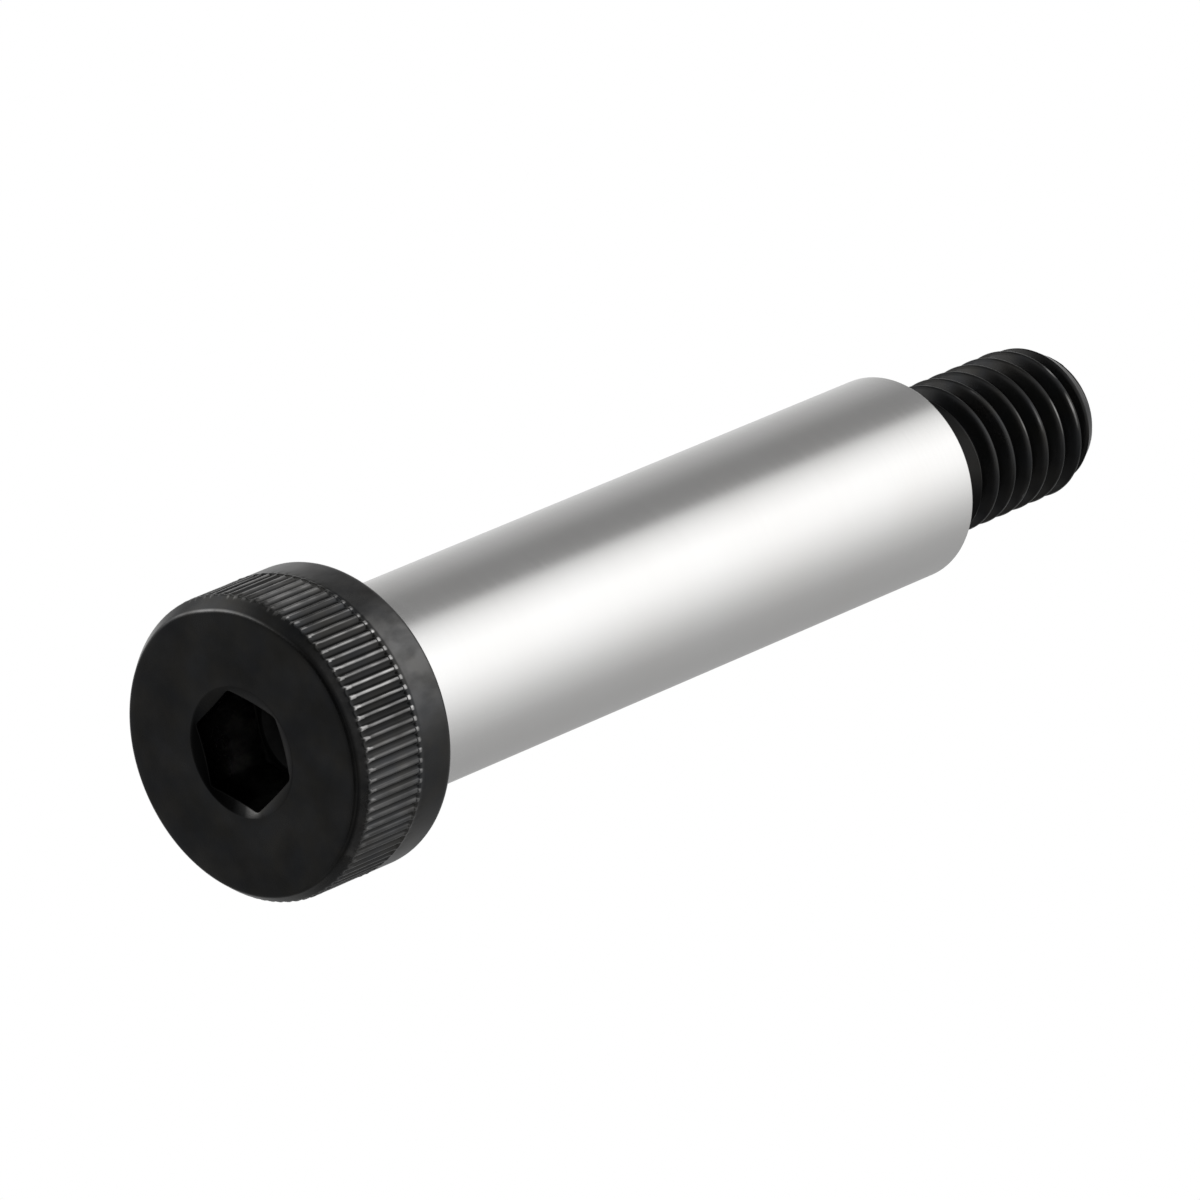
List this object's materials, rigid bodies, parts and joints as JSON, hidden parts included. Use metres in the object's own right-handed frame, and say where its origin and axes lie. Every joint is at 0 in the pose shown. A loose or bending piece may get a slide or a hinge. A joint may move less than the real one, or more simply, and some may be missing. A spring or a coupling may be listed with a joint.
{
  "type": "shoulder bolt",
  "caption": "Socket-head shoulder bolt with a knurled round head, a ground plain shoulder that acts as a pivot or dowel, and a short threaded end.",
  "frame": {"origin": "centre of the head's flat outer face, on the bolt's axis; the bolt stands on this face", "axes": "+Z along the axis from the head to the thread tip; +X towards a corner of the hexagon socket, and +Y square to one of its flats"},
  "size_m": [0.0184, 0.0184, 0.0735],
  "materials": {
    "bolt_steel": "black oxide on the head and the thread, bright ground shoulder"
  },
  "bodies": {
    "root": {"shoulder_bolt": "bolt_steel"}
  },
  "joints": []
}
